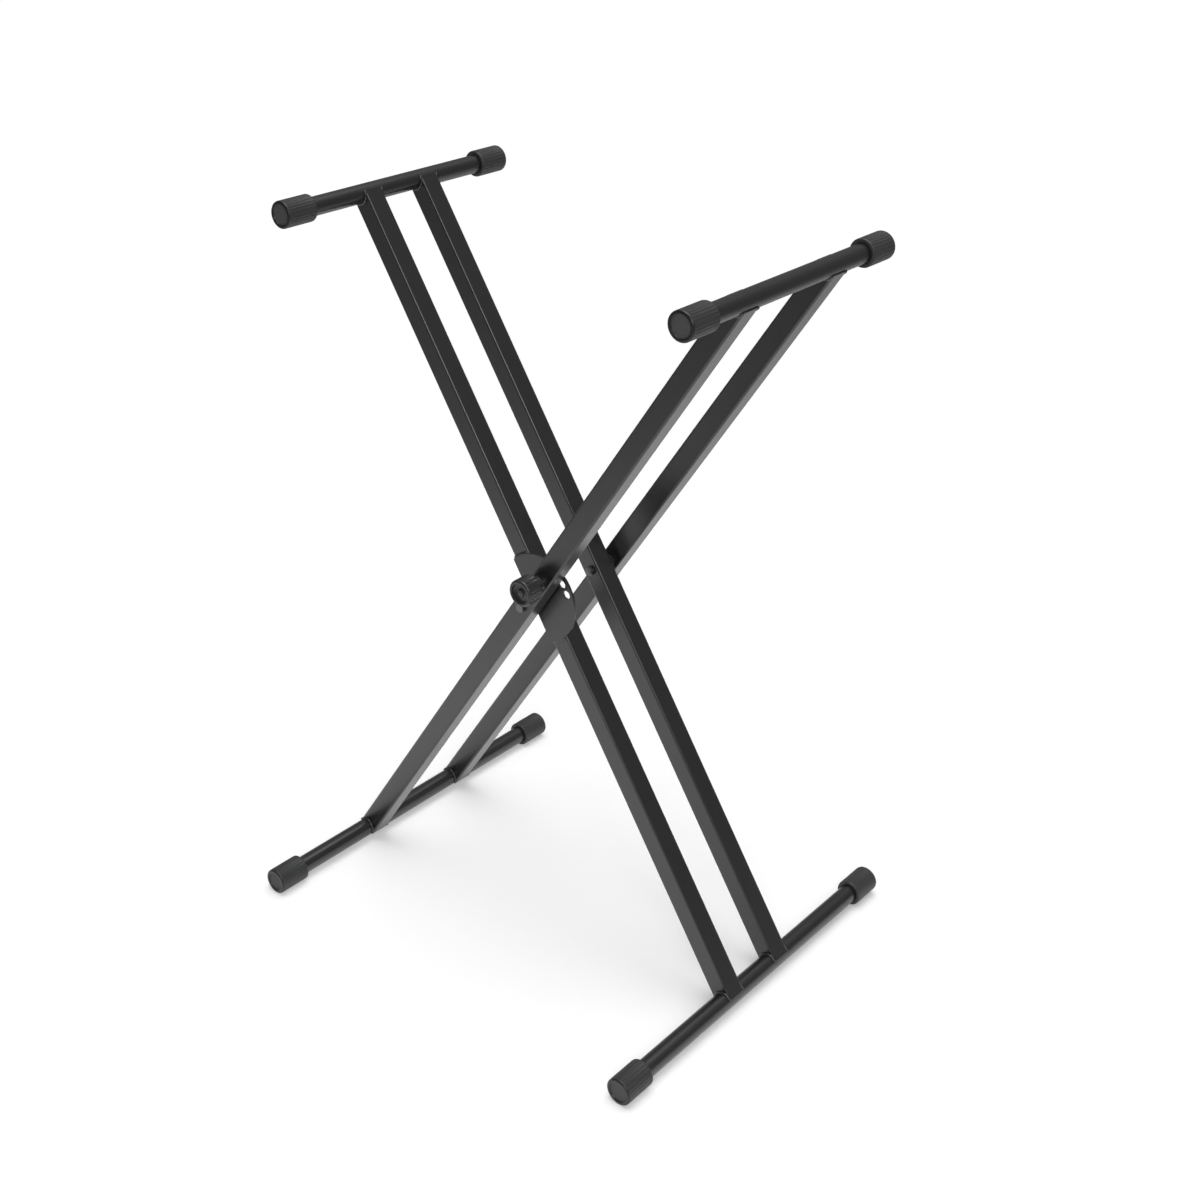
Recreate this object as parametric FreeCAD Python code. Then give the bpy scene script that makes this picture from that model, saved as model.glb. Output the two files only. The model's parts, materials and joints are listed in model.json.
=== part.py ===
import FreeCAD, Part
import math
import os

# Folding double-braced X stand for a keyboard, shown open at its second height.
# Millimetres and degrees. X runs across the X of the legs, Y from front to back,
# Z up. The origin is on the floor, under the middle of the stand.

# Square tube arms
arm_side = 25.0
arm_wall = 1.5
arm_corner_radius = 2.5
upper_reach = 500.0           # pivot to the axis of a top bar, along the arm
lower_reach = 500.0           # pivot to the axis of a foot bar, along the arm
outer_arm_spacing = 152.0     # between the centres of the two outer arms
opening_angle = 66.6          # between the arms, at the height that is shown

# Round tube bars and the caps on their ends
bar_diameter = 22.0
bar_wall = 1.5
top_bar_span = 345.0          # over the caps
foot_bar_span = 486.0         # over the caps
cap_diameter = 31.5
cap_length = 41.0
cap_end_thickness = 6.0
cap_fit_clearance = 0.1
cap_grip_flat_count = 16      # flats inside the cap, which bear on the bar
cap_rib_count = 28
cap_rib_depth = 0.5
cap_edge_chamfer = 1.3
cap_recess_diameter = 24.2
cap_recess_depth = 1.6

# Lock plate, welded to the front inner arm
plate_radius = 53.0
plate_thickness = 3.0
lock_hole_radius = 44.5       # pivot to the centres of the holes
lock_hole_diameter = 10.0
lock_hole_pitch = 16.5
narrower_positions = 1        # holes for a narrower and taller stand
wider_positions = 2           # holes for a wider and lower stand
fold_clearance = 0.5          # between the caps when the stand is folded

# Pivot tubes welded into the arms, bolts, spacers and lock nuts
bolt_diameter = 6.0
running_clearance = 0.08      # round each turning or sliding shaft
side_clearance = 0.1          # between faces that turn against each other
pivot_tube_diameter = 12.0
spacer_diameter = 18.0
near_spacer_length = 4.0
bolt_head_width = 10.0        # across flats
bolt_head_height = 4.0
bolt_tail = 0.8               # thread that shows past the nut
nut_width = 10.0              # across flats
nut_height = 5.0
nut_collar_diameter = 8.4
nut_collar_height = 1.0
corner_slope = 30.0           # of the turned-down corners of head and nut

# Spring latch in the front outer arm
latch_pin_diameter = 8.0
latch_tip_chamfer = 1.0
latch_stem_diameter = 6.0
latch_collar_diameter = 10.8
latch_collar_thickness = 2.5
latch_clearance = 0.3         # pin tip to plate, with the latch drawn clear
latch_engagement = 3.0        # travel from there, inwards, into a hole
housing_flange_diameter = 22.0
housing_flange_thickness = 4.0
housing_flats_width = 19.0
housing_barrel_diameter = 18.0
housing_length = 11.8         # outside the arm
housing_neck_diameter = 14.0
housing_neck_length = 11.0    # inside the arm
housing_fit_clearance = 0.1
housing_bore_diameter = 11.2
housing_end_thickness = 2.0
collar_depth = 4.5            # outer face of the collar, below the arm's face
spring_wire_diameter = 1.0
spring_mean_diameter = 8.8
knob_diameter = 31.5
knob_length = 20.0
knob_skirt_depth = 5.0
knob_skirt_wall = 4.5
knob_web_clearance = 0.2      # web to housing, with the pin fully home
knob_rib_count = 24
knob_rib_depth = 0.5
knob_edge_chamfer = 1.6
knob_recess_diameter = 23.0
knob_recess_depth = 4.0
knob_hub_diameter = 9.0
knob_hub_height = 2.4
stem_end_depth = 3.0          # below the floor of the knob's recess

# Places worked out from the sizes
half_opening = opening_angle / 2
pivot_height = cap_diameter / 2 + lower_reach * math.cos(math.radians(half_opening))
side_gap = plate_thickness + side_clearance + near_spacer_length
far_spacer_length = side_gap - side_clearance
outer_y = outer_arm_spacing / 2
inner_y = outer_y - arm_side - side_gap
front_face_y = -outer_y - arm_side / 2
plate_back_y = -inner_y - arm_side / 2
plate_front_y = plate_back_y - plate_thickness
folded_angle = 2 * math.degrees(
    math.asin((cap_diameter + fold_clearance) / (2 * upper_reach)))

Y_AXIS = FreeCAD.Vector(0, 1, 0)
Z_AXIS = FreeCAD.Vector(0, 0, 1)
SHAPES = {}


def vec(x, y, z):
    return FreeCAD.Vector(x, y, z)


def revolve_y(profile):
    """Solid turned about the Y axis from (radius, y) corners."""
    corners = [vec(radius, y, 0) for radius, y in profile]
    outline = Part.makePolygon(corners + corners[:1])
    return Part.Face(outline).revolve(vec(0, 0, 0), Y_AXIS, 360)


def cylinder_y(radius, y_start, y_end, x=0.0, z=0.0):
    """Cylinder along Y between two stations."""
    return Part.makeCylinder(radius, y_end - y_start, vec(x, y_start, z), Y_AXIS)


def prism_y(width, sides, y_start, y_end):
    """Regular prism along Y, given its width across flats."""
    step = 2 * math.pi / sides
    radius = width / 2 / math.cos(step / 2)
    corners = [vec(radius * math.cos(index * step), y_start,
                   radius * math.sin(index * step)) for index in range(sides)]
    outline = Part.makePolygon(corners + corners[:1])
    return Part.Face(outline).extrude(vec(0, y_end - y_start, 0))


def hexagon_y(width, height):
    """Hexagon from y = 0 to its height, with the corners turned down there."""
    flat = width / 2
    corner = flat / math.cos(math.radians(30))
    drop = (corner - flat) * math.tan(math.radians(corner_slope))
    keep = revolve_y([(0, 0), (corner, 0), (corner, height - drop), (flat, height),
                      (0, height)])
    return prism_y(width, 6, 0, height).common(keep)


def rounded_square(side, radius, z):
    """Wire of a square with rounded corners, level with z."""
    half = side / 2
    flat = half - radius
    bulge = flat + radius * math.sqrt(0.5)
    edges = []
    for quarter in range(4):
        turn = FreeCAD.Rotation(Z_AXIS, 90 * quarter)
        start, end = vec(half, -flat, z), vec(half, flat, z)
        middle, last = vec(bulge, bulge, z), vec(flat, half, z)
        edges.append(Part.makeLine(turn.multVec(start), turn.multVec(end)))
        edges.append(Part.Arc(turn.multVec(end), turn.multVec(middle),
                              turn.multVec(last)).toShape())
    return Part.Wire(edges)


def ribbed_section(radius, depth, count, y):
    """Wire of a ribbed circle square to Y, one ridge and one groove to a rib."""
    corners = []
    for index in range(2 * count):
        angle = index * math.pi / count
        reach = radius - depth * (index % 2)
        corners.append(vec(reach * math.sin(angle), y, reach * math.cos(angle)))
    return Part.makePolygon(corners + corners[:1])


def ribbed_barrel(diameter, length, depth, count, chamfers):
    """Ribbed solid along Y from y = 0, with its front and rear chamfers."""
    radius = diameter / 2
    front, rear = chamfers
    stations = [(radius - front, 0), (radius, front), (radius, length - rear)]
    if rear:
        stations.append((radius - rear, length))
    sections = [ribbed_section(r, depth * r / radius, count, y) for r, y in stations]
    return Part.makeLoft(sections, True, True)


def place(shape, lean, y):
    """Put a shape made about the pivot on a frame that leans towards +X."""
    moved = shape.copy()
    moved.rotate(vec(0, 0, 0), Y_AXIS, lean)
    moved.translate(vec(0, y, pivot_height))
    return moved


def arm(extra_cuts=()):
    """Square tube with a pivot tube welded in, saddled over the bars."""
    outside = Part.Face(rounded_square(arm_side, arm_corner_radius, -lower_reach))
    half = arm_side / 2
    inner = half - arm_wall
    length = lower_reach + upper_reach
    hollow = Part.makeBox(2 * inner, 2 * inner, length,
                          vec(-inner, -inner, -lower_reach))
    pivot_tube = cylinder_y(pivot_tube_diameter / 2, -half, half)
    saddles = [cylinder_y(bar_diameter / 2, -half, half, z=z)
               for z in (upper_reach, -lower_reach)]
    pivot_bore = cylinder_y(bolt_diameter / 2 + running_clearance, -half, half)
    return outside.extrude(vec(0, 0, length)).cut(
        [hollow.cut(pivot_tube), pivot_bore] + saddles + list(extra_cuts))


def bar(span, reach):
    """Round tube across the arms, with its ends inside the caps."""
    half = span / 2 - cap_end_thickness
    tube = cylinder_y(bar_diameter / 2, -half, half, z=reach)
    return tube.cut(cylinder_y(bar_diameter / 2 - bar_wall, -half, half, z=reach))


def cap(span, reach, side):
    """Ribbed plastic cap with a recessed end. side is -1 in front, 1 behind."""
    ribbed = ribbed_barrel(cap_diameter, cap_length, cap_rib_depth, cap_rib_count,
                           (cap_edge_chamfer, 0))
    recess_radius = cap_recess_diameter / 2
    recess = cylinder_y(recess_radius, 0, cap_recess_depth)
    bore = prism_y(bar_diameter + 2 * cap_fit_clearance, cap_grip_flat_count,
                   cap_end_thickness, cap_length)
    shape = ribbed.cut([recess, bore])
    if side > 0:
        shape.rotate(vec(0, 0, 0), Z_AXIS, 180)
    shape.translate(vec(0, side * span / 2, reach))
    return shape


def lock_plate():
    """Half-moon plate, flush with one side of the arm, with the latch holes."""
    disc = cylinder_y(plate_radius, 0, plate_thickness)
    keep = Part.makeBox(arm_side / 2 + plate_radius, plate_thickness,
                        2 * plate_radius, vec(-arm_side / 2, 0, -plate_radius))
    angles = [folded_angle]
    for step in range(-narrower_positions, wider_positions + 1):
        angles.append(opening_angle + step * lock_hole_pitch)
    holes = [cylinder_y(bolt_diameter / 2 + running_clearance, 0, plate_thickness)]
    for angle in angles:
        turn = math.radians(angle)
        holes.append(cylinder_y(lock_hole_diameter / 2, 0, plate_thickness,
                                lock_hole_radius * math.sin(turn),
                                lock_hole_radius * math.cos(turn)))
    return disc.common(keep).cut(holes)


def ring(outer_diameter, length):
    """Spacer round a bolt, from y = 0."""
    return cylinder_y(outer_diameter / 2, 0, length).cut(
        cylinder_y(bolt_diameter / 2 + running_clearance, 0, length))


def pivot_bolt():
    """Hexagon bolt along +Y, with the underside of its head at y = 0."""
    end = 2 * arm_side + side_gap + side_clearance + nut_height + bolt_tail
    head = hexagon_y(bolt_head_width, bolt_head_height)
    head.rotate(vec(0, 0, 0), Z_AXIS, 180)
    return head.fuse(cylinder_y(bolt_diameter / 2, 0, end))


def lock_nut():
    """Hexagon nut with the collar of its nylon ring, from y = 0."""
    body = hexagon_y(nut_width, nut_height - nut_collar_height)
    collar = cylinder_y(nut_collar_diameter / 2, nut_height - nut_collar_height,
                        nut_height)
    return body.fuse(collar).cut(cylinder_y(bolt_diameter / 2, 0, nut_height))


def latch_place(shape):
    """Stand a latch piece on the front arm. Its y = 0 is the arm's front face."""
    moved = shape.copy()
    moved.translate(vec(0, front_face_y + outer_y, lock_hole_radius))
    return place(moved, half_opening, -outer_y)


def latch_housing():
    """Turned body that holds the spring: a neck, a flange and a barrel."""
    neck = housing_neck_diameter / 2
    flange = housing_flange_diameter / 2
    barrel = housing_barrel_diameter / 2
    body = revolve_y([(0, housing_neck_length), (neck, housing_neck_length),
                      (neck, 0), (flange, 0), (flange, -housing_flange_thickness),
                      (barrel, -housing_flange_thickness),
                      (barrel, -housing_length), (0, -housing_length)])
    keep = Part.makeBox(housing_flats_width, housing_length + housing_neck_length,
                        housing_flange_diameter,
                        vec(-housing_flats_width / 2, -housing_length, -flange))
    chamber = cylinder_y(housing_bore_diameter / 2,
                         housing_end_thickness - housing_length, housing_neck_length)
    stem_hole = cylinder_y(latch_stem_diameter / 2 + running_clearance,
                           -housing_length, 0)
    return body.common(keep).cut([chamber, stem_hole])


def latch_pin():
    """Stepped pin: the tip for the plate, the spring's collar and the stem."""
    tip = plate_front_y - latch_clearance - front_face_y
    radius = latch_pin_diameter / 2
    collar = latch_collar_diameter / 2
    collar_end = collar_depth + latch_collar_thickness
    stem = latch_stem_diameter / 2
    return revolve_y([(0, tip), (radius - latch_tip_chamfer, tip),
                      (radius, tip - latch_tip_chamfer), (radius, collar_end),
                      (collar, collar_end), (collar, collar_depth),
                      (stem, collar_depth), (stem, stem_end_y), (0, stem_end_y)])


def latch_spring():
    """Envelope of the compression spring, from the collar to the housing's end."""
    half_wire = spring_wire_diameter / 2
    mean = spring_mean_diameter / 2
    start = housing_end_thickness - housing_length
    coil = cylinder_y(mean + half_wire, start, collar_depth)
    return coil.cut(cylinder_y(mean - half_wire, start, collar_depth))


def latch_knob():
    """Ribbed pull knob: a skirt over the housing and a hub in its outer recess."""
    ribbed = ribbed_barrel(knob_diameter, knob_length, knob_rib_depth,
                           knob_rib_count, (knob_edge_chamfer, 0))
    recess = cylinder_y(knob_recess_diameter / 2, 0, knob_recess_depth)
    hub = cylinder_y(knob_hub_diameter / 2, knob_recess_depth - knob_hub_height,
                     knob_recess_depth)
    skirt = cylinder_y(knob_diameter / 2 - knob_skirt_wall,
                       knob_length - knob_skirt_depth, knob_length)
    shape = ribbed.cut([recess.cut(hub), skirt])
    shape.translate(vec(0, knob_outer_y, 0))
    stem_hole = cylinder_y(latch_stem_diameter / 2, stem_end_y, 0)
    return shape.cut(stem_hole)


knob_web_y = -housing_length - knob_web_clearance - latch_engagement
knob_outer_y = knob_web_y + knob_skirt_depth - knob_length
stem_end_y = knob_outer_y + knob_recess_depth + stem_end_depth


def build_arms():
    latch_hole = cylinder_y(housing_neck_diameter / 2 + housing_fit_clearance,
                            -arm_side / 2, 0, z=lock_hole_radius)
    guide_hole = cylinder_y(latch_pin_diameter / 2 + running_clearance, 0,
                            arm_side / 2, z=lock_hole_radius)
    SHAPES["outer_front_arm"] = place(arm([latch_hole, guide_hole]),
                                      half_opening, -outer_y)
    SHAPES["outer_rear_arm"] = place(arm(), half_opening, outer_y)
    SHAPES["inner_front_arm"] = place(arm(), -half_opening, -inner_y)
    SHAPES["inner_rear_arm"] = place(arm(), -half_opening, inner_y)


def build_bars():
    ends = {"top": (top_bar_span, upper_reach), "foot": (foot_bar_span, -lower_reach)}
    for frame, lean in (("outer", half_opening), ("inner", -half_opening)):
        for end, (span, reach) in ends.items():
            name = frame + "_" + end
            SHAPES[name + "_bar"] = place(bar(span, reach), lean, 0)
            SHAPES[name + "_front_cap"] = place(cap(span, reach, -1), lean, 0)
            SHAPES[name + "_rear_cap"] = place(cap(span, reach, 1), lean, 0)


def build_pivots():
    nut_seat = arm_side / 2 - inner_y + side_clearance
    stack = {
        "pivot_bolt": (pivot_bolt(), front_face_y),
        "pivot_nut": (lock_nut(), nut_seat),
    }
    for name, (shape, y) in stack.items():
        SHAPES["front_" + name] = place(shape, half_opening, y)
        mirrored = shape.copy()
        mirrored.rotate(vec(0, 0, 0), Z_AXIS, 180)
        SHAPES["rear_" + name] = place(mirrored, half_opening, -y)
    SHAPES["front_pivot_spacer"] = place(ring(spacer_diameter, near_spacer_length),
                                         half_opening, -outer_y + arm_side / 2)
    SHAPES["rear_pivot_spacer"] = place(ring(spacer_diameter, far_spacer_length),
                                        half_opening,
                                        outer_y - arm_side / 2 - far_spacer_length)


def build_lock():
    SHAPES["lock_plate"] = place(lock_plate(), -half_opening, plate_front_y)
    SHAPES["latch_housing"] = latch_place(latch_housing())
    SHAPES["latch_pin"] = latch_place(latch_pin())
    SHAPES["latch_spring"] = latch_place(latch_spring())
    SHAPES["latch_knob"] = latch_place(latch_knob())


build_arms()
build_bars()
build_pivots()
build_lock()

os.makedirs("parts", exist_ok=True)
for node, solid in SHAPES.items():
    solid.exportStep(os.path.join("parts", node + ".step"))
    print(node, len(solid.Solids), round(solid.Volume), solid.isValid())
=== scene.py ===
import json
import math
import bpy
import bmesh
from mathutils import Matrix, Vector


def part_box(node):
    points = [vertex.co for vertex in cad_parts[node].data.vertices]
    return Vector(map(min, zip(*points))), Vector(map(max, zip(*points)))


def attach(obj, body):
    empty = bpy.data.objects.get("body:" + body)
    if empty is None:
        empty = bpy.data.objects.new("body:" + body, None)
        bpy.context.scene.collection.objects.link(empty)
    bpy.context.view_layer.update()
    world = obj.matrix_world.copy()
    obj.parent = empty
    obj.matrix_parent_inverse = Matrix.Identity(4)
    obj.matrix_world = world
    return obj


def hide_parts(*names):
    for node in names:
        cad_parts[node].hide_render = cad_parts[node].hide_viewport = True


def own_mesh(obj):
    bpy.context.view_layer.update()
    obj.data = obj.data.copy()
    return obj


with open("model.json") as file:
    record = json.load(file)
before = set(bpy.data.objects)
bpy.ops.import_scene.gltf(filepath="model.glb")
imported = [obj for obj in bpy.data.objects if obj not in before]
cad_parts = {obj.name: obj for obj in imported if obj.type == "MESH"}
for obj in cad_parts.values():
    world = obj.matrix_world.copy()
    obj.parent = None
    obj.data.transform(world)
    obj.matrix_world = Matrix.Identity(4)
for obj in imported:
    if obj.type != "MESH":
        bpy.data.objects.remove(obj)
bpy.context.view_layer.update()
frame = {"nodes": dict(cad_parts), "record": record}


# ---------------------------------------------------------------------------
# Leg tubes: two long outer and two long inner legs of 25 mm square steel tube,
# saddled at both ends to sit on the bars, cleaned after welding and finished
# in satin black powder coat with a faint orange peel.
# ---------------------------------------------------------------------------
class Level:
    """A value that varies over a surface, so that shader maths reads as sums."""

    def __init__(self, web, socket):
        self.web = web
        self.socket = socket

    def step(self, operation, first, second):
        node = self.web.node("ShaderNodeMath", {"operation": operation},
                             {0: first, 1: second})
        return Level(self.web, node.outputs[0])

    def __add__(self, other):
        return self.step("ADD", self, other)

    def __radd__(self, other):
        return self.step("ADD", other, self)

    def __sub__(self, other):
        return self.step("SUBTRACT", self, other)

    def __rsub__(self, other):
        return self.step("SUBTRACT", other, self)

    def __mul__(self, other):
        return self.step("MULTIPLY", self, other)

    def __rmul__(self, other):
        return self.step("MULTIPLY", other, self)

    def __pow__(self, other):
        return self.step("POWER", self, other)

    def __rpow__(self, other):
        return self.step("POWER", other, self)

    def __or__(self, other):
        return self.step("MAXIMUM", self, other)

    def __ror__(self, other):
        return self.step("MAXIMUM", other, self)


class Web:
    """A node tree, with one method that adds any node and its links."""

    def __init__(self, tree):
        self.tree = tree
        tree.nodes.clear()

    def node(self, kind, settings=None, values=None):
        made = self.tree.nodes.new(kind)
        for name, setting in (settings or {}).items():
            setattr(made, name, setting)
        for name, value in (values or {}).items():
            self.feed(made.inputs[name], value)
        return made

    def feed(self, socket, value):
        value = getattr(value, "socket", value)
        if isinstance(value, bpy.types.NodeSocket):
            self.tree.links.new(value, socket)
        else:
            socket.default_value = value

    def level(self, socket):
        return Level(self, socket)

    def ramp(self, value, low, high, start, end):
        """A value that eases from start to end as another goes from low to high."""
        made = self.node(
            "ShaderNodeMapRange", {"interpolation_type": "SMOOTHSTEP"},
            {"Value": value, "From Min": low, "From Max": high,
             "To Min": start, "To Max": end})
        return self.level(made.outputs["Result"])

    def parts(self, vector):
        """The three numbers of a vector."""
        made = self.node("ShaderNodeSeparateXYZ", {}, {0: vector})
        return [self.level(socket) for socket in made.outputs]

    def blend(self, factor, dark, light):
        """A colour between two colours, each three numbers or another blend."""
        first, second = ((*colour, 1.0) if isinstance(colour, tuple) else colour
                         for colour in (dark, light))
        made = self.node("ShaderNodeMix", {"data_type": "RGBA"},
                         {0: factor, 6: first, 7: second})
        return made.outputs[2]


class Finish(Web):
    """A material for one of the stand's finishes."""

    def __init__(self, name, colour, roughness, **constants):
        self.material = bpy.data.materials.new(name)
        self.material.use_nodes = True
        super().__init__(self.material.node_tree)
        values = {"Base Color": (*colour, 1.0), "Roughness": roughness}
        for key, value in constants.items():
            values[key.replace("_", " ")] = value
        self.surface = self.node("ShaderNodeBsdfPrincipled", {}, values)
        self.result = self.node("ShaderNodeOutputMaterial", {},
                                {"Surface": self.surface.outputs["BSDF"]})
        self.place = self.node("ShaderNodeTexCoord").outputs["Object"]

    def noise(self, scale, detail=2.0):
        made = self.node("ShaderNodeTexNoise", {}, {
            "Vector": self.place, "Scale": scale, "Detail": detail})
        return self.level(made.outputs["Fac"])

    def paint(self, socket, value):
        self.feed(self.surface.inputs[socket], value)

    def relief(self, height, depth):
        made = self.node("ShaderNodeBump", {}, {
            "Height": height, "Distance": depth, "Strength": 1.0})
        self.paint("Normal", made.outputs["Normal"])


def powder_coat():
    """Satin black: orange peel, a little mottling, and dust on what faces up."""
    coat = Finish("satin_black_powder_coat", (0.009, 0.009, 0.0095), 0.27, IOR=1.7)
    peel = coat.noise(scale=430.0, detail=1.0)
    speck = coat.noise(scale=1900.0, detail=2.0)
    drift = coat.noise(scale=9.0, detail=3.0)
    up = coat.parts(coat.node("ShaderNodeNewGeometry").outputs["Normal"])[2]
    dust = coat.ramp(up * (0.6 + 0.8 * drift), low=0.45, high=1.1, start=0.0, end=0.18)
    black = coat.blend(drift, (0.0075, 0.0075, 0.008), (0.0105, 0.0105, 0.011))
    coat.paint("Base Color", coat.blend(dust, black, (0.02, 0.02, 0.0203)))
    coat.paint("Roughness", 0.235 + drift * 0.07 + speck * 0.05)
    coat.relief(peel * 0.75 + speck * 0.25, depth=0.00005)
    return coat.material


def cover(mesh, material):
    """Give a mesh one material."""
    mesh.materials.clear()
    mesh.materials.append(material)


nodes = frame["nodes"]
satin_black = powder_coat()
for leg in ("outer_front_arm", "outer_rear_arm", "inner_front_arm", "inner_rear_arm"):
    cover(nodes[leg].data, satin_black)


# ---------------------------------------------------------------------------
# Bars: round steel tube welded across the ends of the legs, two on top to
# carry the instrument and two longer ones on the floor, coated with the legs.
# ---------------------------------------------------------------------------
for bar in ("outer_top_bar", "inner_top_bar", "outer_foot_bar", "inner_foot_bar"):
    cover(nodes[bar].data, satin_black)


# ---------------------------------------------------------------------------
# Saddle welds: each leg end is welded all round to its bar, with a rippled
# bead along both sides of the saddle and a short one on each of its edges.
# They are coated over with the frame.
# ---------------------------------------------------------------------------
mm = 0.001
on_axis = 1e-6      # nearer to the Y axis than this is on it


def edit(piece):
    """Open one piece in edit mode, with nothing selected."""
    bpy.ops.object.select_all(action="DESELECT")
    piece.select_set(True)
    bpy.context.view_layer.objects.active = piece
    bpy.ops.object.mode_set(mode="EDIT")
    bpy.ops.mesh.select_mode(type="VERT")
    bpy.ops.mesh.select_all(action="DESELECT")


def pick(piece, wanted):
    """Select the vertices whose place passes a test."""
    shape = bmesh.from_edit_mesh(piece.data)
    for vertex in shape.verts:
        vertex.select_set(bool(wanted(vertex.co)))
    shape.select_flush_mode()
    bmesh.update_edit_mesh(piece.data)


def close_edit(piece, angle=35):
    """Leave edit mode and shade the round parts smooth."""
    bpy.ops.object.mode_set(mode="OBJECT")
    bpy.ops.object.shade_smooth_by_angle(angle=math.radians(angle))
    return piece


def faces_outward():
    """Turn all faces of the piece in edit mode outwards."""
    bpy.ops.mesh.select_all(action="SELECT")
    bpy.ops.mesh.normals_make_consistent(inside=False)


def ring(name, count, radius, place, **options):
    """A circle to start a piece from, with its place in its mesh."""
    bpy.ops.object.select_all(action="DESELECT")
    bpy.ops.mesh.primitive_circle_add(vertices=count, radius=radius,
                                      location=place, **options)
    piece = bpy.context.object
    piece.name = piece.data.name = name
    bpy.ops.object.transform_apply(location=True, rotation=True, scale=True)
    return piece


def lathe(name, profile, count):
    """Turn a closed shell about Y by extruding a ring through its profile.

    The profile holds (radius, y) in mm and starts and ends on the axis."""
    stations = [(radius * mm, y * mm) for radius, y in profile]
    (radius, y), *rings = stations[1:-1]
    piece = ring(name, count, radius, (0, y, 0),
                 rotation=(math.pi / 2, 0, 0), fill_type="TRIFAN")
    edit(piece)
    pick(piece, lambda co: math.hypot(co.x, co.z) < on_axis)
    bpy.ops.transform.translate(value=(0, stations[0][1] - y, 0))
    pick(piece, lambda co: math.hypot(co.x, co.z) > on_axis)
    for next_radius, next_y in rings:
        bpy.ops.mesh.extrude_edges_move(
            TRANSFORM_OT_translate={"value": (0, next_y - y, 0)})
        grow = next_radius / radius
        bpy.ops.transform.resize(value=(grow, 1, grow), center_override=(0, next_y, 0))
        radius, y = next_radius, next_y
    bpy.ops.mesh.extrude_edges_move(
        TRANSFORM_OT_translate={"value": (0, stations[-1][1] - y, 0)})
    bpy.ops.mesh.merge(type="CENTER")
    faces_outward()
    return piece


def ripple(index, last):
    """Thickness of a hand-laid bead at one of its rings."""
    if index in (0, last):
        return 0.5
    return 0.94 + 0.09 * (index % 2) + 0.05 * math.sin(index * 1.7)


def curved_bead(name, reach, thickness, sweep, rings):
    """Spin a round section about Y: a bead that starts on +X and turns to +Z."""
    bead = ring(name, 10, thickness, (reach, 0, 0))
    edit(bead)
    bpy.ops.mesh.select_all(action="SELECT")
    bpy.ops.mesh.spin(steps=rings, angle=sweep, center=(0, 0, 0), axis=(0, 1, 0))
    for index in range(rings + 1):
        turn = sweep * index / rings
        pick(bead, lambda co: math.cos(math.atan2(co.z, co.x) - turn) > 0.9999)
        middle = (reach * math.cos(turn), 0, reach * math.sin(turn))
        scale = ripple(index, rings)
        bpy.ops.transform.resize(value=(scale,) * 3, center_override=middle)
        if index in (0, rings):
            bpy.ops.mesh.edge_face_add()
    faces_outward()
    return close_edit(bead, angle=60)


def straight_bead(name, length, thickness, rings):
    """A rippled bead along Y, centred on the axis, its sizes in mm."""
    stations = [(thickness * ripple(index, rings),
                 length * (index / rings - 0.5)) for index in range(rings + 1)]
    profile = [(0, -length / 2)] + stations + [(0, length / 2)]
    return close_edit(lathe(name, profile, 10), angle=60)


def copy_at(pattern, name, at, turn=Matrix()):
    """A copy with its own mesh, turned and moved in its mesh to its place."""
    mesh = pattern.data.copy()
    mesh.name = name
    mesh.transform(Matrix.Translation(at) @ turn)
    piece = bpy.data.objects.new(name, mesh)
    bpy.context.collection.objects.link(piece)
    return piece


def coated_weld(beads, name, body):
    """Several beads made one piece, coated over with the frame they are on."""
    bpy.ops.object.select_all(action="DESELECT")
    for bead in beads:
        bead.select_set(True)
    weld = bpy.context.view_layer.objects.active = beads[0]
    bpy.ops.object.join()
    weld.name = weld.data.name = name
    cover(weld.data, satin_black)
    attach(weld, body)


def corners(node):
    """Lowest and highest corner of a solid."""
    return [Vector(corner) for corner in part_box(node)]


def middle_of(node):
    low, high = corners(node)
    return (low + high) / 2


def about_y(angle):
    return Matrix.Rotation(angle, 4, "Y")


saddle_bead_reach = 11.4 * mm       # from the bar's axis to the bead's
edge_bead_reach = 11.6 * mm
bead_stand_off = 0.4 * mm           # from the leg's face to the bead's axis

pivot = middle_of("front_pivot_bolt")
pivot.y = 0
saddle_pattern = curved_bead("saddle_bead", saddle_bead_reach, thickness=1.7 * mm,
                             sweep=math.pi, rings=34)
edge_pattern = straight_bead("saddle_edge_bead", length=25.4, thickness=0.95, rings=26)
for body in ("outer", "inner"):
    for end in ("top", "foot"):
        middle = middle_of(f"{body}_{end}_bar")
        towards_pivot = math.atan2(pivot.z - middle.z, pivot.x - middle.x)
        half_round = about_y(math.pi / 2 - towards_pivot)
        across = half_round @ Vector((edge_bead_reach, 0, 0))
        beads = []
        for side in ("front", "rear"):
            low, high = corners(f"{body}_{side}_arm")
            for face in (low.y - bead_stand_off, high.y + bead_stand_off):
                beads.append(copy_at(saddle_pattern, "bead",
                                     (middle.x, face, middle.z), half_round))
            for way in (across, -across):
                place = middle + way
                place.y = (low.y + high.y) / 2
                beads.append(copy_at(edge_pattern, "bead", place))
        coated_weld(beads, f"{body}_{end}_bar_welds", f"{body}_frame")
bpy.data.objects.remove(saddle_pattern)
bpy.data.objects.remove(edge_pattern)


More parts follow.
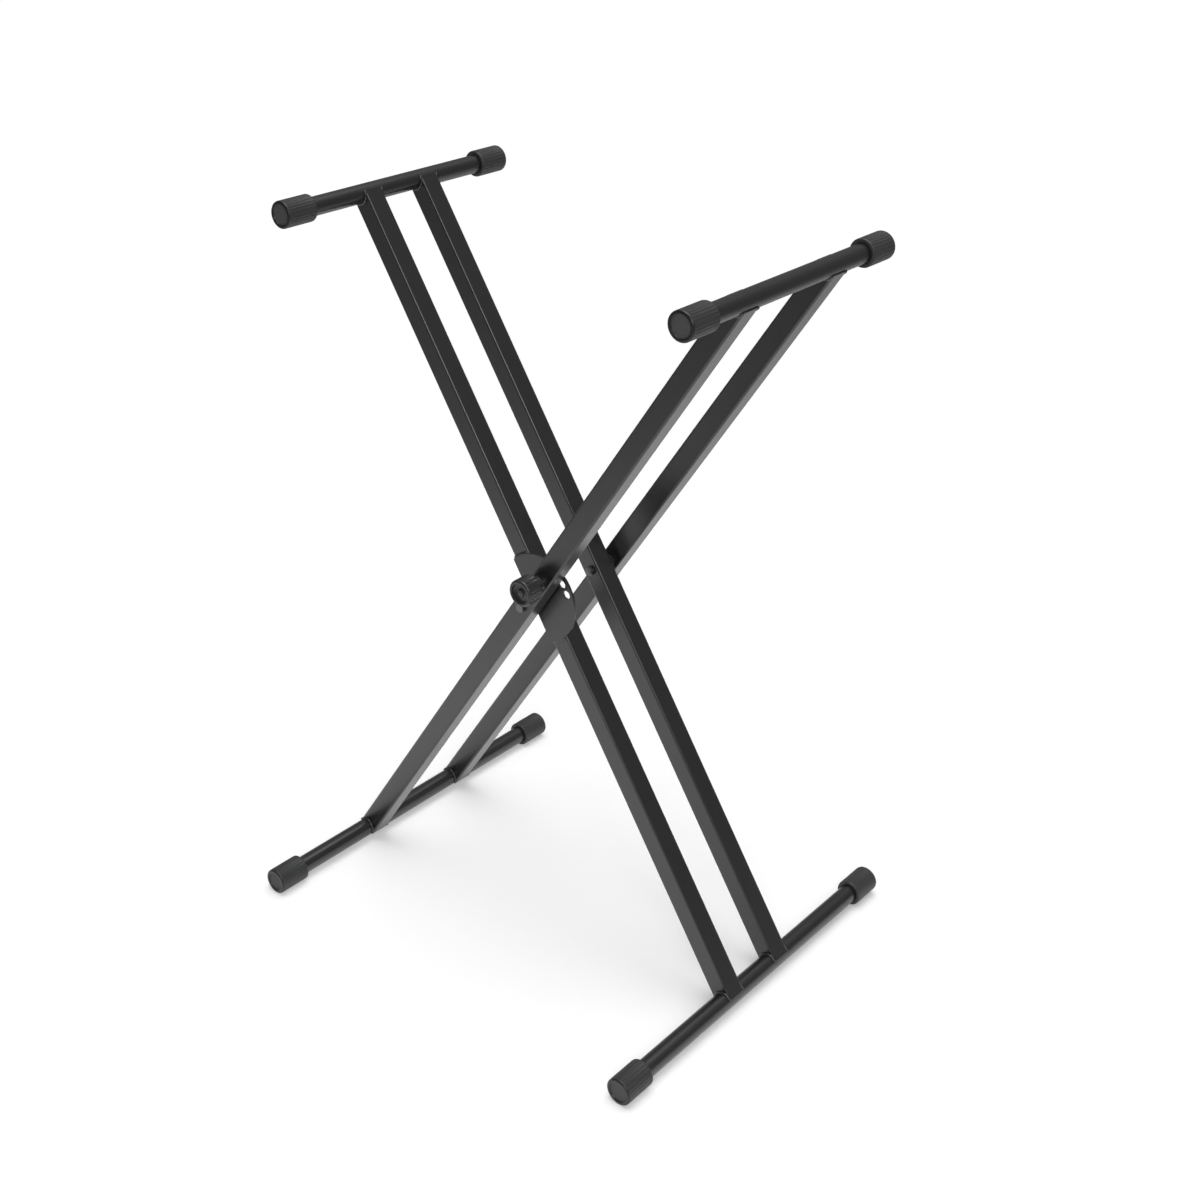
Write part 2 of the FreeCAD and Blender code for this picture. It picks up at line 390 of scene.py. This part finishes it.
# ---------------------------------------------------------------------------
# End caps: eight moulded black plastic sleeves, pressed over the bar ends.
# Fine ribs run along them and fade out at a smooth rim darkened with painted shade,
# inside which the closed end is a matt, slightly sunken panel lightened with painted
# light.
# ---------------------------------------------------------------------------
def capped_plastic():
    """Moulded black, glossy on the rim and matt on the panel, darkened on the rim with
    painted shade and lightened on the panel with painted light.
    """
    plastic = Finish("matt_black_cap_plastic", (0.032, 0.032, 0.033), 0.45)
    grain = plastic.noise(scale=2600.0, detail=3.0)
    cloud = plastic.noise(scale=60.0)
    painted_light_and_matt = plastic.level(plastic.node(
        "ShaderNodeAttribute", {"attribute_name": "painted_light_and_matt"}).outputs["Fac"])
    # Base colour: painted shade on the rim and painted light on the panel, over one
    # plastic
    plastic.paint("Base Color", plastic.blend(
        painted_light_and_matt * (0.88 + 0.24 * cloud), (0.008, 0.008, 0.0083), (0.066, 0.066, 0.0665)))
    plastic.paint("Roughness", 0.26 + painted_light_and_matt * 0.36 + grain * 0.08)
    plastic.relief(grain * painted_light_and_matt, depth=0.00004)
    return plastic.material


panel_radius = 11.1 * mm
panel_depth = 2.6 * mm      # deeper than the panel lies, but short of the ribs
rim_depth = 1.1 * mm
# The barrel lies between the rim's painted shade and the panel's painted light
barrel_painted_light_and_matt = 0.42
barrel_radius = 15.75       # of the caps and the knob alike, in mm
facets_per_rib = 6


def cap_painted_light_and_matt(co):
    """Painted shading of the plastic, with its mattness: painted shade on the rim,
    painted light on the panel inside it.
    """
    if co.y < panel_depth and math.hypot(co.x, co.z) < panel_radius:
        return 1.0
    return 0.0 if co.y < rim_depth else barrel_painted_light_and_matt


def cut_grooves(piece, count, depth, radius, low, high):
    """Press grooves into the barrel between two stations, rounded at the top."""
    step = 2 * math.pi / count
    for fall, offset in ((depth, 0), (depth * 0.6, 1 / facets_per_rib)):
        def in_groove(co):
            if not low < co.y < high or math.hypot(co.x, co.z) < radius * 0.97:
                return False
            turn = (math.atan2(co.x, co.z) / step) % 1.0
            return abs(min(turn, 1 - turn) - offset) < 0.03
        pick(piece, in_groove)
        shrink = 1 - fall / radius
        bpy.ops.transform.resize(value=(shrink, 1, shrink), center_override=(0, 0, 0))


cap_ribs = 28
cap_profile = (
    (0, 1.7), (5.5, 1.62), (9.6, 1.4), (10.7, 1.3), (11.0, 1.25), (11.15, 1.05),
    (11.35, 0.5), (11.7, 0.15), (12.3, 0.0), (13.4, 0.0), (14.3, 0.12), (15.0, 0.45),
    (15.5, 1.0), (15.72, 1.8), (barrel_radius, 2.4), (barrel_radius, 3.2),
    (barrel_radius, 38.6), (15.72, 39.4), (15.5, 40.2), (15.1, 40.75), (14.5, 41.0),
    (12.2, 41.0), (11.4, 40.8), (11.1, 40.3), (11.1, 6.0), (0, 6.0))
cap_pattern = lathe("cap_pattern", cap_profile, cap_ribs * facets_per_rib)
cut_grooves(cap_pattern, cap_ribs, depth=0.5 * mm, radius=barrel_radius * mm,
            low=2.8 * mm, high=38.9 * mm)
close_edit(cap_pattern)
# Each vertex stores its share of painted shade or painted light, and of mattness
painted_light_and_matt_values = cap_pattern.data.attributes.new("painted_light_and_matt", "FLOAT", "POINT")
for vertex, stored in zip(cap_pattern.data.vertices, painted_light_and_matt_values.data):
    stored.value = cap_painted_light_and_matt(vertex.co)
cover(cap_pattern.data, capped_plastic())
for body in ("outer", "inner"):
    for end in ("top", "foot"):
        for side in ("front", "rear"):
            node = f"{body}_{end}_{side}_cap"
            place = middle_of(node)
            low, high = corners(node)
            place.y = low.y if side == "front" else high.y
            half_turn = Matrix.Rotation(math.pi if side == "rear" else 0.0, 4, "Z")
            cap = copy_at(cap_pattern, f"{body}_{end}_{side}_ribbed_cap", place,
                          half_turn)
            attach(cap, f"{body}_frame")
            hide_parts(node)
bpy.data.objects.remove(cap_pattern)


# ---------------------------------------------------------------------------
# Lock plate: a half-moon cut from 3 mm steel with a row of latch holes, its
# edges broken, laid on the front inner leg and welded there at top and bottom.
# It is plain where the pin lies when the stand is folded.
# ---------------------------------------------------------------------------
def fill_hole(piece, at, reach):
    """Close the round hole along Y whose wall lies within reach of a place."""
    pick(piece, lambda co: math.hypot(co.x - at.x, co.z - at.z) < reach)
    bpy.ops.mesh.delete(type="ONLY_FACE")
    bpy.ops.mesh.select_mode(type="EDGE")
    for wires in (True, False):
        bpy.ops.mesh.select_all(action="DESELECT")
        bpy.ops.mesh.select_non_manifold(
            use_wire=wires, use_boundary=not wires, use_multi_face=False,
            use_non_contiguous=False, use_verts=False)
        if wires:
            bpy.ops.mesh.delete(type="EDGE")
        else:
            bpy.ops.mesh.fill_holes(sides=0)


merge_distance = 0.002 * mm
flat_angle = math.radians(0.5)
sharp_angle = math.radians(32)
latch_hole_reach = 5.5 * mm         # just over the radius of a latch hole


def softened(node, name, body, material, width, plain_at=None):
    """A merged copy of a solid with its sharp edges broken, in its place."""
    mesh = nodes[node].data.copy()
    mesh.name = name
    cover(mesh, material)
    piece = bpy.data.objects.new(name, mesh)
    bpy.context.collection.objects.link(piece)
    edit(piece)
    bpy.ops.mesh.select_all(action="SELECT")
    bpy.ops.mesh.remove_doubles(threshold=merge_distance)
    if plain_at:
        fill_hole(piece, plain_at, latch_hole_reach)
        bpy.ops.mesh.select_mode(type="VERT")
        bpy.ops.mesh.select_all(action="SELECT")
    bpy.ops.mesh.dissolve_limited(angle_limit=flat_angle)
    bpy.ops.object.mode_set(mode="OBJECT")
    bevel = piece.modifiers.new("broken_edges", "BEVEL")
    bevel.width = width
    bevel.segments = 2
    bevel.limit_method = "ANGLE"
    bevel.angle_limit = sharp_angle
    bpy.ops.object.modifier_apply(modifier=bevel.name)
    bpy.ops.object.shade_smooth_by_angle(angle=sharp_angle)
    flat = piece.modifiers.new("flat_faces", "WEIGHTED_NORMAL")
    flat.keep_sharp = True
    bpy.ops.object.modifier_apply(modifier=flat.name)
    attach(piece, body)
    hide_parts(node)


fold = frame["record"]["behaviour"]["joints"][0]
folded_flat = about_y(-math.radians(fold["range_deg"][1]))
pin_when_folded = pivot + folded_flat @ (middle_of("latch_pin") - pivot)
softened("lock_plate", "lock_plate_cut", "inner_frame",
         satin_black, width=0.35 * mm, plain_at=pin_when_folded)

plate_bead_sweep = math.radians(25.5)       # as wide as the leg
plate_bead_depth = 0.6 * mm                 # from the leg's back to the bead's axis
plate_pattern = curved_bead("plate_bead", 53.4 * mm, thickness=1.9 * mm,
                            sweep=plate_bead_sweep, rings=18)
leg_back = corners("inner_front_arm")[0].y
top_of_leg = middle_of("inner_top_bar")
up_the_leg = math.atan2(top_of_leg.z - pivot.z, top_of_leg.x - pivot.x)
at_pivot = (pivot.x, leg_back - plate_bead_depth, pivot.z)
beads = [copy_at(plate_pattern, "bead", at_pivot, about_y(plate_bead_sweep / 2 - turn))
         for turn in (up_the_leg, up_the_leg + math.pi)]
bpy.data.objects.remove(plate_pattern)
coated_weld(beads, "lock_plate_welds", "inner_frame")


# ---------------------------------------------------------------------------
# Pivots: on each side a hexagon bolt through both legs, with a lock nut whose
# nylon ring grips the thread, and a black nylon spacer between the legs. The
# bolts and nuts are blackened steel.
# ---------------------------------------------------------------------------
def moulded_plastic(name, dark, light, roughness):
    """Moulded black with a fine spark-eroded grain."""
    plastic = Finish(name, dark, roughness)
    grain = plastic.noise(scale=2600.0, detail=3.0)
    cloud = plastic.noise(scale=60.0)
    plastic.paint("Base Color", plastic.blend(cloud, dark, light))
    plastic.paint("Roughness", roughness - 0.05 + grain * 0.12)
    plastic.relief(grain, depth=0.00004)
    return plastic.material


def plated_steel(name, dark, light, roughness):
    """Dull plated or blackened steel with faint turning marks."""
    steel = Finish(name, dark, roughness, Metallic=1.0)
    haze = steel.noise(scale=220.0, detail=3.0)
    scratch = steel.noise(scale=1500.0)
    steel.paint("Base Color", steel.blend(haze, dark, light))
    steel.paint("Roughness", roughness - 0.06 + haze * 0.14)
    steel.relief(scratch, depth=0.00002)
    return steel.material


blackened = plated_steel("blackened_steel", dark=(0.13, 0.13, 0.134),
                         light=(0.22, 0.22, 0.225), roughness=0.36)
nylon = moulded_plastic("black_nylon", dark=(0.014, 0.014, 0.015),
                        light=(0.02, 0.02, 0.021), roughness=0.45)
for side in ("front", "rear"):
    softened(side + "_pivot_bolt", side + "_hexagon_bolt", "outer_frame",
             blackened, width=0.25 * mm)
    softened(side + "_pivot_nut", side + "_hexagon_lock_nut", "outer_frame",
             blackened, width=0.2 * mm)
    cover(nodes[side + "_pivot_spacer"].data, nylon)


# ---------------------------------------------------------------------------
# Latch: a turned steel housing screwed through the leg's front wall, with a
# stepped pin inside that a coil spring of 1 mm wire presses towards the plate.
# ---------------------------------------------------------------------------
zinc = plated_steel("dull_zinc_plate", dark=(0.36, 0.36, 0.37),
                    light=(0.47, 0.47, 0.475), roughness=0.36)
softened("latch_housing", "latch_turned_housing", "outer_frame",
         blackened, width=0.35 * mm)
softened("latch_pin", "latch_stepped_pin", "latch", zinc,
         width=0.2 * mm)

coils = 8
steps_per_coil = 26
wire_radius = 0.49 * mm
coil_radius = 4.4 * mm
wire_inset = 0.5 * mm               # from the spring's end to the wire's axis
spring_low, spring_high = corners("latch_spring")
spring_axis = middle_of("latch_spring")
spring = ring("latch_coil_spring", 10, wire_radius, (coil_radius, 0, 0))
wind = spring.modifiers.new("winding", "SCREW")
wind.axis = "Y"
wind.angle = 2 * math.pi * coils
wind.screw_offset = spring_high.y - spring_low.y - 2 * wire_inset
wind.steps = wind.render_steps = steps_per_coil * coils
wind.use_merge_vertices = False
bpy.ops.object.modifier_apply(modifier=wind.name)
edit(spring)
bpy.ops.mesh.select_mode(type="EDGE")
bpy.ops.mesh.select_non_manifold()
bpy.ops.mesh.edge_face_add()
faces_outward()
close_edit(spring, angle=60)
spring.data.transform(Matrix.Translation(
    (spring_axis.x, spring_low.y + wire_inset, spring_axis.z)))
cover(spring.data, zinc)
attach(spring, "outer_frame")
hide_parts("latch_spring")
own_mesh(spring)


# ---------------------------------------------------------------------------
# Pull knob: satin black moulded plastic, ribbed for grip, pressed on the pin.
# Its outer end is dished round a small hub, and its skirt covers the housing.
# ---------------------------------------------------------------------------
knob_ribs = 24
knob_profile = (
    (0, 1.35), (2.4, 1.4), (3.5, 1.55), (4.15, 1.9), (4.4, 2.5), (4.6, 3.4),
    (5.1, 3.85), (5.9, 4.0), (9.6, 4.0), (10.6, 3.85), (11.2, 3.4), (11.4, 2.7),
    (11.5, 0.9), (11.7, 0.35), (12.2, 0.05), (12.9, 0.0), (13.9, 0.1), (14.8, 0.5),
    (15.4, 1.15), (15.7, 1.9), (barrel_radius, 2.6), (barrel_radius, 3.4),
    (barrel_radius, 18.2), (15.72, 18.9), (15.5, 19.5), (15.0, 19.85), (14.2, 20.0),
    (12.2, 20.0), (11.6, 19.85), (11.3, 19.4), (11.25, 18.8), (11.25, 15.0),
    (3.03, 15.0), (3.03, 7.0), (0, 7.0))
knob = lathe("latch_pull_knob", knob_profile, knob_ribs * facets_per_rib)
cut_grooves(knob, knob_ribs, depth=0.6 * mm, radius=barrel_radius * mm,
            low=3.0 * mm, high=18.5 * mm)
close_edit(knob)
knob_place = middle_of("latch_knob")
knob_place.y = corners("latch_knob")[0].y
knob.data.transform(Matrix.Translation(knob_place))
cover(knob.data, moulded_plastic(
    "satin_black_knob_plastic", dark=(0.024, 0.024, 0.025),
    light=(0.031, 0.031, 0.032), roughness=0.24))
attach(knob, "latch")
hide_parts("latch_knob")


# ---------------------------------------------------------------------------
# Studio: a wide pale floor under a large soft lamp, with another lamp behind
# the camera. What the paint mirrors of the floor fades away from the stand.
# ---------------------------------------------------------------------------
black, white = (0.0, 0.0, 0.0), (1.0, 1.0, 1.0)
bpy.ops.object.select_all(action="DESELECT")
bpy.ops.mesh.primitive_plane_add(size=60, location=(0, 0, 0))
floor = bpy.context.object
floor.name = "studio_floor"
paper = Finish("pale_studio_floor", (0.82, 0.82, 0.82), 0.9, Specular_IOR_Level=0.0)
east, north, _ = paper.parts(paper.place)


def squared_distance(x, y):
    """From each point of the floor to the place (x, y) on it."""
    return (east - x) * (east - x) + (north - y) * (north - y)


lit = 0.25 + 0.55 * 0.665 ** squared_distance(0.2, 0.3)
near = paper.ramp(squared_distance(-0.1, -0.2) ** 0.5,
                  low=0.35, high=1.45, start=1.0, end=0.0)
ray = paper.node("ShaderNodeLightPath").outputs
seen = (paper.level(ray["Is Camera Ray"])
        | paper.level(ray["Is Glossy Ray"]) * near
        | paper.level(ray["Is Transmission Ray"]))
glow = paper.node("ShaderNodeEmission", {}, {
    "Color": paper.blend(seen * (1.03 - lit), black, white)})
both = paper.node("ShaderNodeAddShader", {}, {
    0: paper.surface.outputs["BSDF"], 1: glow.outputs[0]})
paper.feed(paper.result.inputs["Surface"], both.outputs[0])
cover(floor.data, paper.material)

world = bpy.data.worlds.new("studio")
bpy.context.scene.world = world
world.use_nodes = True
room = Web(world.node_tree)
_, ahead, height = room.parts(room.node("ShaderNodeTexCoord").outputs["Generated"])
walls = room.ramp(height, low=0.3, high=0.8, start=0.22, end=0.34)
front = room.ramp(ahead, low=-0.8, high=0.1, start=0.55, end=1.0)
backdrop = room.node("ShaderNodeBackground", {}, {
    "Color": room.blend(walls * front, black, white)})
room.node("ShaderNodeOutputWorld", {}, {"Surface": backdrop.outputs[0]})


def soft_lamp(name, place, aim, size, power):
    """A round area lamp, turned towards the place that it lights."""
    lamp = bpy.data.lights.new(name, "AREA")
    lamp.shape = "DISK"
    lamp.size = size
    lamp.energy = power
    made = bpy.data.objects.new(name, lamp)
    bpy.context.collection.objects.link(made)
    made.location = place
    beam = Vector(aim) - Vector(place)
    made.rotation_euler = beam.to_track_quat("-Z", "Y").to_euler()
    return lamp


overhead = soft_lamp("overhead_lamp", place=(0.2, 0.3, 2.6), aim=(0.2, 0.3, 0),
                     size=2.6, power=14)
overhead.spread = 1.4
soft_lamp("camera_lamp", place=(2.4, -2.8, 2.4), aim=(0, 0, 0.4), size=2.2, power=58)

lens = bpy.data.cameras.new("photo_camera")
lens.sensor_width = 36
lens.lens = 53.69
lens.shift_y = -0.15
lens.clip_end = 200
camera = bpy.data.objects.new("photo_camera", lens)
bpy.context.collection.objects.link(camera)
camera.location = (1.1989, -1.3927, 1.3882)
camera.rotation_euler = [math.radians(turn) for turn in (67.658, -0.581, 40.068)]
bpy.context.scene.camera = camera
bpy.context.scene.view_settings.view_transform = "Standard"
